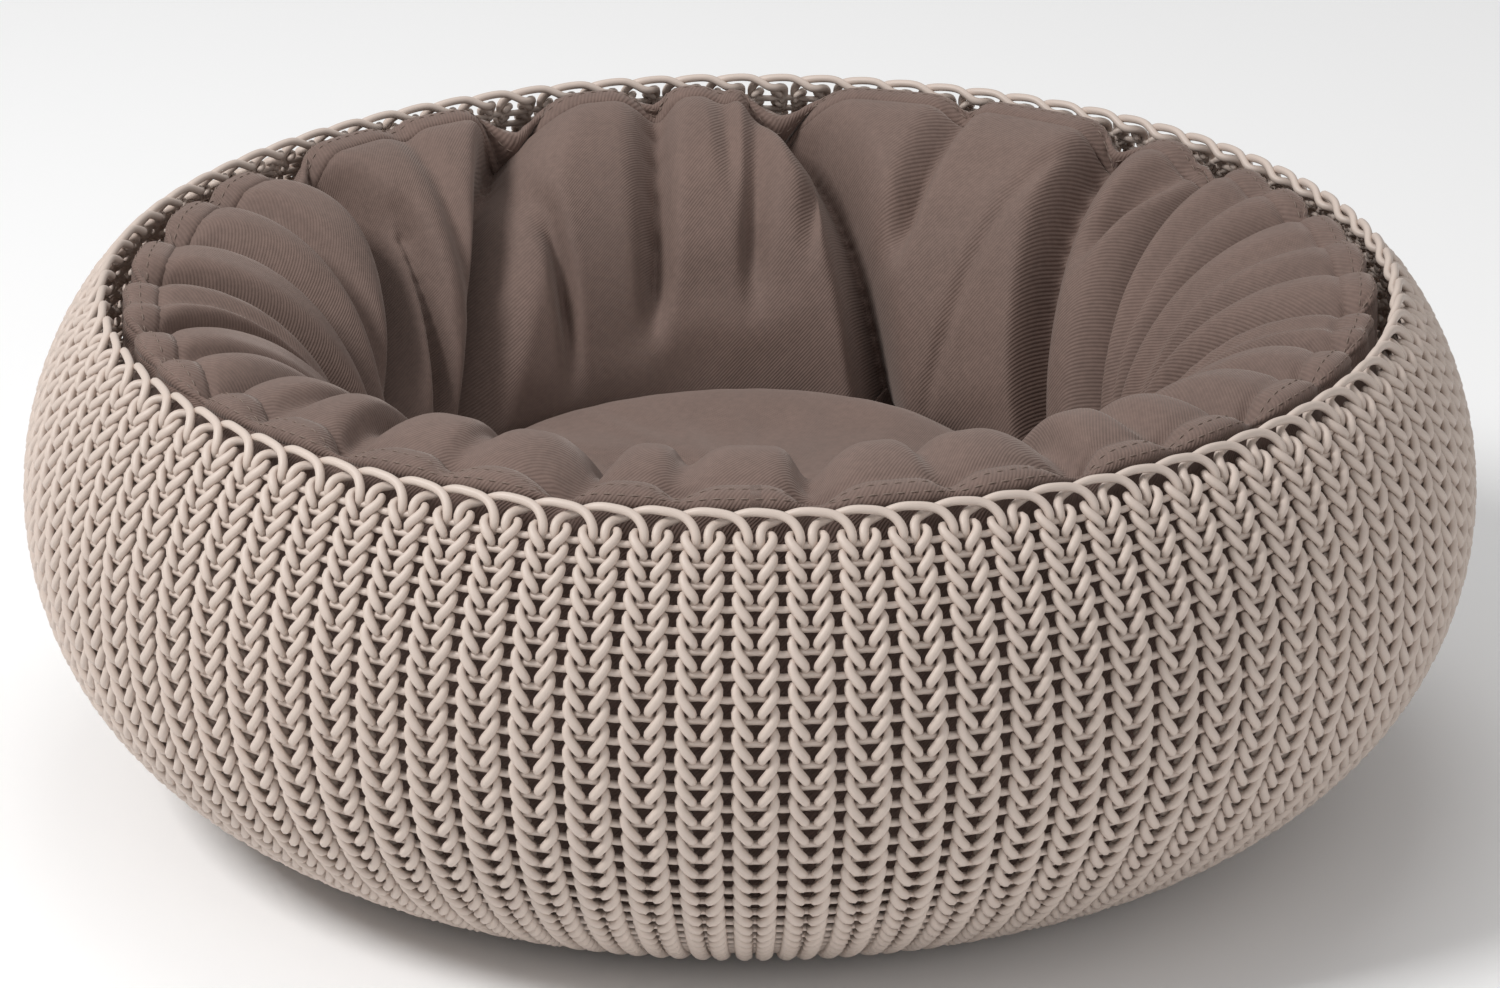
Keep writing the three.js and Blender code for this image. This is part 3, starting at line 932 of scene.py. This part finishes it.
class OBJECT_OT_nest_hem(Operator):
    """Builds the folded top edge of the cushion and its two rows of stitches"""

    bl_idname = "object.nest_hem"
    bl_label = "Nest hem"

    def execute(self, context):
        cushion = context.scene.cushion_settings
        lines, normal = hem_rows(cushion)
        count = lines.shape[1]
        across = np.linspace(-1, 1, count)
        puffed = HEM_PUFF * (1 - across ** 6)[None, :, None]
        over = lines + normal * puffed
        under = (lines - normal * HEM_BACK)[:, ::-1]
        grid = np.concatenate([over, under, over[:, :1]], 1)[:, :-1]
        columns, rows = grid.shape[:2]
        ids = np.arange(columns * rows).reshape(columns, rows)
        after = np.roll(ids, -1, 0)
        quads = np.stack([ids, after, np.roll(after, -1, 1), np.roll(ids, -1, 1)], -1).reshape(-1, 4)
        mesh = mesh_from("nest_hem", grid.reshape(-1, 3), quads.ravel(), np.full(len(quads), 4))
        layer = mesh.uv_layers.new(name="weave")
        round_axis = (np.arange(columns) * 2 * math.pi * HEM_GRAIN_RADIUS / columns)[:, None]
        across_hem = (np.arange(rows) * HEM_GRAIN_ROW)[None]
        place = np.stack([np.broadcast_to(round_axis, (columns, rows)),
                          np.broadcast_to(across_hem, (columns, rows))], -1).reshape(-1, 2)
        layer.data.foreach_set("uv", place[quads.ravel()].astype(np.float32).ravel())
        piece = new_object("nest_hem", mesh)
        piece.data.materials.append(twill("ribbed_twill", cushion.colour, cushion.rib_spacing))
        parts = []
        path = lines + normal * THREAD_HEIGHT
        for share in (0.34, 0.66):
            place = share * (count - 1)
            low = int(place)
            line = path[:, low] * (1 - place + low) + path[:, low + 1] * (place - low)
            facing = normal[:, low]
            steps = np.linalg.norm(np.roll(line, -1, 0) - line, axis=1)
            along = np.concatenate([[0], np.cumsum(steps)])
            stitches = int(along[-1] / (cushion.stitch_length * STITCH_PITCH))
            start = np.arange(stitches) * along[-1] / stitches
            reach = start[:, None] + np.linspace(0, cushion.stitch_length, 5)[None]
            loop = np.concatenate([line, line[:1]])
            faces = np.concatenate([facing, facing[:1]])
            centres = np.stack([np.interp(reach % along[-1], along, loop[:, k]) for k in range(3)], -1)
            outward = unit(np.stack([np.interp(reach % along[-1], along, faces[:, k]) for k in range(3)], -1))
            dip = np.array([-0.0005, 0.0, 0.00012, 0.0, -0.0005])[None, :, None]
            parts.append(tubes(centres + outward * dip, np.full(reach.shape, THREAD_RADIUS), outward, 6))
        thread = new_object("hem_stitches", mesh_from("hem_stitches", *joined(parts)))
        thread.data.materials.append(sewing_thread("hem_thread", cushion.thread))
        for made in (piece, thread):
            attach(made, "nest")
            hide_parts("nest_top_hem")
        return {"FINISHED"}


# Broad dents of the pad's top: centre across and towards the back, direction, length, width and depth. The
# depth is multiplied by DENT_DEPTH.
DENT_DEPTH = 1.9
PAD_DENTS = (
    (-0.030, 0.010, 0.35, 0.085, 0.020, 0.0034),
    (0.040, -0.020, -0.45, 0.075, 0.018, 0.0036),
    (0.010, 0.060, 0.10, 0.070, 0.022, 0.0026),
    (-0.050, -0.050, 1.00, 0.060, 0.016, 0.0026),
    (0.065, 0.040, 1.30, 0.050, 0.015, 0.0022),
)


class OBJECT_OT_base_pad(Operator):
    """Builds the crowned base pad with its puckered seam and lets its padding swell"""

    bl_idname = "object.base_pad"
    bl_label = "Base pad"

    def execute(self, context):
        cushion = context.scene.cushion_settings
        columns = 320
        turn = (np.arange(columns) * 2 * math.pi / columns)[:, None]
        share = np.concatenate([np.linspace(0.02, 0.9, 16), 1 - 0.1 * (1 - np.linspace(0.1, 1, 9)) ** 2])
        top = np.concatenate([1 - 0.1 * (1 - np.linspace(1, 0.05, 12)) ** 2, np.linspace(0.87, 0.02, 30)])
        radius = cushion.pad_radius * np.concatenate([share, top])
        full = np.concatenate([share, top])
        under = np.arange(len(radius)) < len(share)
        lower = PAD_SEAM - (PAD_SEAM - PAD_FOOT - 0.0005) * np.clip(1 - full ** 6, 0, 1) ** 0.5
        upper = PAD_SEAM + (PAD_TOP - PAD_SEAM - 0.001) * np.clip(1 - full ** 9, 0, 1) ** 0.5
        height = np.where(under, lower, upper)[None]
        from_seam = np.cumsum(np.hypot(np.gradient(radius), np.gradient(height[0])))
        from_seam = np.abs(from_seam - from_seam[len(share) - 1])
        pucker = (0.55 * np.sin(47 * turn + 0.8 * np.sin(5 * turn))
                  + 0.45 * np.sin(31 * turn + 1.7 * np.sin(3 * turn)))
        pucker = 0.0017 * pucker * np.exp(-from_seam / 0.013)[None]
        x, y = radius * np.sin(turn), radius * np.cos(turn)
        dent = np.zeros_like(x)
        for across, back, way, length, width, depth in PAD_DENTS:
            along = (x - across) * math.cos(way) + (y - back) * math.sin(way)
            aside = -(x - across) * math.sin(way) + (y - back) * math.cos(way)
            dent += DENT_DEPTH * depth * np.exp(-(along / length) ** 2 - (aside / width) ** 2)
        height = height + pucker * np.where(under, -1, 1) - np.where(under, 0, dent)
        pulled = 1 + pucker / cushion.pad_radius
        grid = np.stack([x * pulled, y * pulled, height], -1)
        piece = new_object("base_pad", ring_mesh("base_pad", grid))
        held = np.where(from_seam < 0.0025, 1.0, 0.1)
        held = np.where(under, np.maximum(held, 0.8), held)
        held = np.broadcast_to(held[None], (columns, len(radius)))
        inflate(piece, held, 0.6 * cushion.pressure, PAD_SWELL)
        points = points_of(piece, columns, grid.shape[1])
        radius = np.hypot(points[..., 0], points[..., 1])
        points[..., :2] *= np.minimum(1, (cushion.pad_radius + 0.0015) / np.maximum(radius, 1e-6))[..., None]
        points[..., 2] = np.clip(points[..., 2], PAD_FOOT, PAD_TOP + 0.002)
        refine(piece, points)
        finish_cloth(piece, "pad", ("pad_top_cover", "pad_bottom_cover", "pad_filling"), cushion)
        return {"FINISHED"}


# The stage --------------------------------------------------------------------


def area_light(name, place, target, size, power, colour=(1, 1, 1)):
    """A square soft light that faces a point."""
    data = bpy.data.lights.new(name, "AREA")
    data.size = size
    data.energy = power
    data.color = colour
    light = new_object(name, data)
    light.location = place
    light.rotation_euler = (Vector(target) - Vector(place)).to_track_quat("-Z", "Y").to_euler()
    return light


class SCENE_OT_stage(Operator):
    """Sets the camera, the pale floor and the soft lights"""

    bl_idname = "scene.stage"
    bl_label = "Stage"

    def execute(self, context):
        stage = context.scene.stage_settings
        camera = new_object("camera", bpy.data.cameras.new("camera"))
        camera.data.lens = stage.lens
        camera.data.sensor_width = 36
        camera.data.clip_end = 50
        back = stage.distance * math.cos(stage.elevation)
        rise = stage.distance * math.sin(stage.elevation)
        camera.location = (0, -back, stage.rim_height + rise)
        camera.rotation_euler = (math.pi / 2 - stage.tilt, 0, 0)
        context.scene.camera = camera
        floor_mesh = bpy.data.meshes.new("floor")
        floor_mesh.from_pydata([(-6, -6, 0), (6, -6, 0), (6, 6, 0), (-6, 6, 0)], [], [(0, 1, 2, 3)])
        floor = new_object("floor", floor_mesh)
        material, _, shader = new_material("pale_floor")
        shader.inputs["Base Color"].default_value = (0.96, 0.96, 0.96, 1)
        shader.inputs["Roughness"].default_value = 0.9
        floor.data.materials.append(material)
        world = bpy.data.worlds.new("soft_white")
        world.use_nodes = True
        world.node_tree.nodes["Background"].inputs["Color"].default_value = (1, 1, 1, 1)
        world.node_tree.nodes["Background"].inputs["Strength"].default_value = 0.4
        context.scene.world = world
        context.scene.view_settings.view_transform = "Standard"
        area_light("key_light", (-1.5, -0.7, 1.9), (0, 0, 0.1), 0.7, 42)
        area_light("fill_light", (1.2, -2.0, 0.9), (0, 0, 0.1), 1.4, 7)
        area_light("top_light", (0.1, 0.6, 2.2), (0, 0, 0.1), 1.2, 9)
        return {"FINISHED"}


class VIEW3D_PT_pet_basket(Panel):
    """Lists the settings and the steps that build the basket"""

    bl_label = "Pet basket"
    bl_space_type = "VIEW_3D"
    bl_region_type = "UI"
    bl_category = "Pet basket"

    def draw(self, context):
        scene = context.scene
        for group in (scene.basket_settings, scene.cushion_settings, scene.stage_settings):
            for key in group.bl_rna.properties.keys():
                if key not in ("rna_type", "name"):
                    self.layout.prop(group, key)
        for operator in OPERATORS:
            self.layout.operator(operator.bl_idname)


OPERATORS = (SCENE_OT_stage, OBJECT_OT_knit_wall, OBJECT_OT_rim_loops, OBJECT_OT_basket_floor,
             OBJECT_OT_nest_cushion, OBJECT_OT_nest_hem, OBJECT_OT_base_pad)
CLASSES = (BasketSettings, CushionSettings, StageSettings, *OPERATORS, VIEW3D_PT_pet_basket)


def register():
    """Adds the classes and the settings."""
    for made in CLASSES:
        bpy.utils.register_class(made)
    bpy.types.Scene.basket_settings = PointerProperty(type=BasketSettings)
    bpy.types.Scene.cushion_settings = PointerProperty(type=CushionSettings)
    bpy.types.Scene.stage_settings = PointerProperty(type=StageSettings)


def unregister():
    """Takes the settings and the classes away."""
    del bpy.types.Scene.stage_settings
    del bpy.types.Scene.cushion_settings
    del bpy.types.Scene.basket_settings
    for made in reversed(CLASSES):
        bpy.utils.unregister_class(made)


def main():
    """Builds every piece in order."""
    register()
    bpy.ops.scene.stage()
    bpy.ops.object.knit_wall()
    bpy.ops.object.rim_loops()
    bpy.ops.object.basket_floor()
    bpy.ops.object.nest_cushion()
    bpy.ops.object.nest_hem()
    bpy.ops.object.base_pad()


if __name__ == "__main__":
    main()
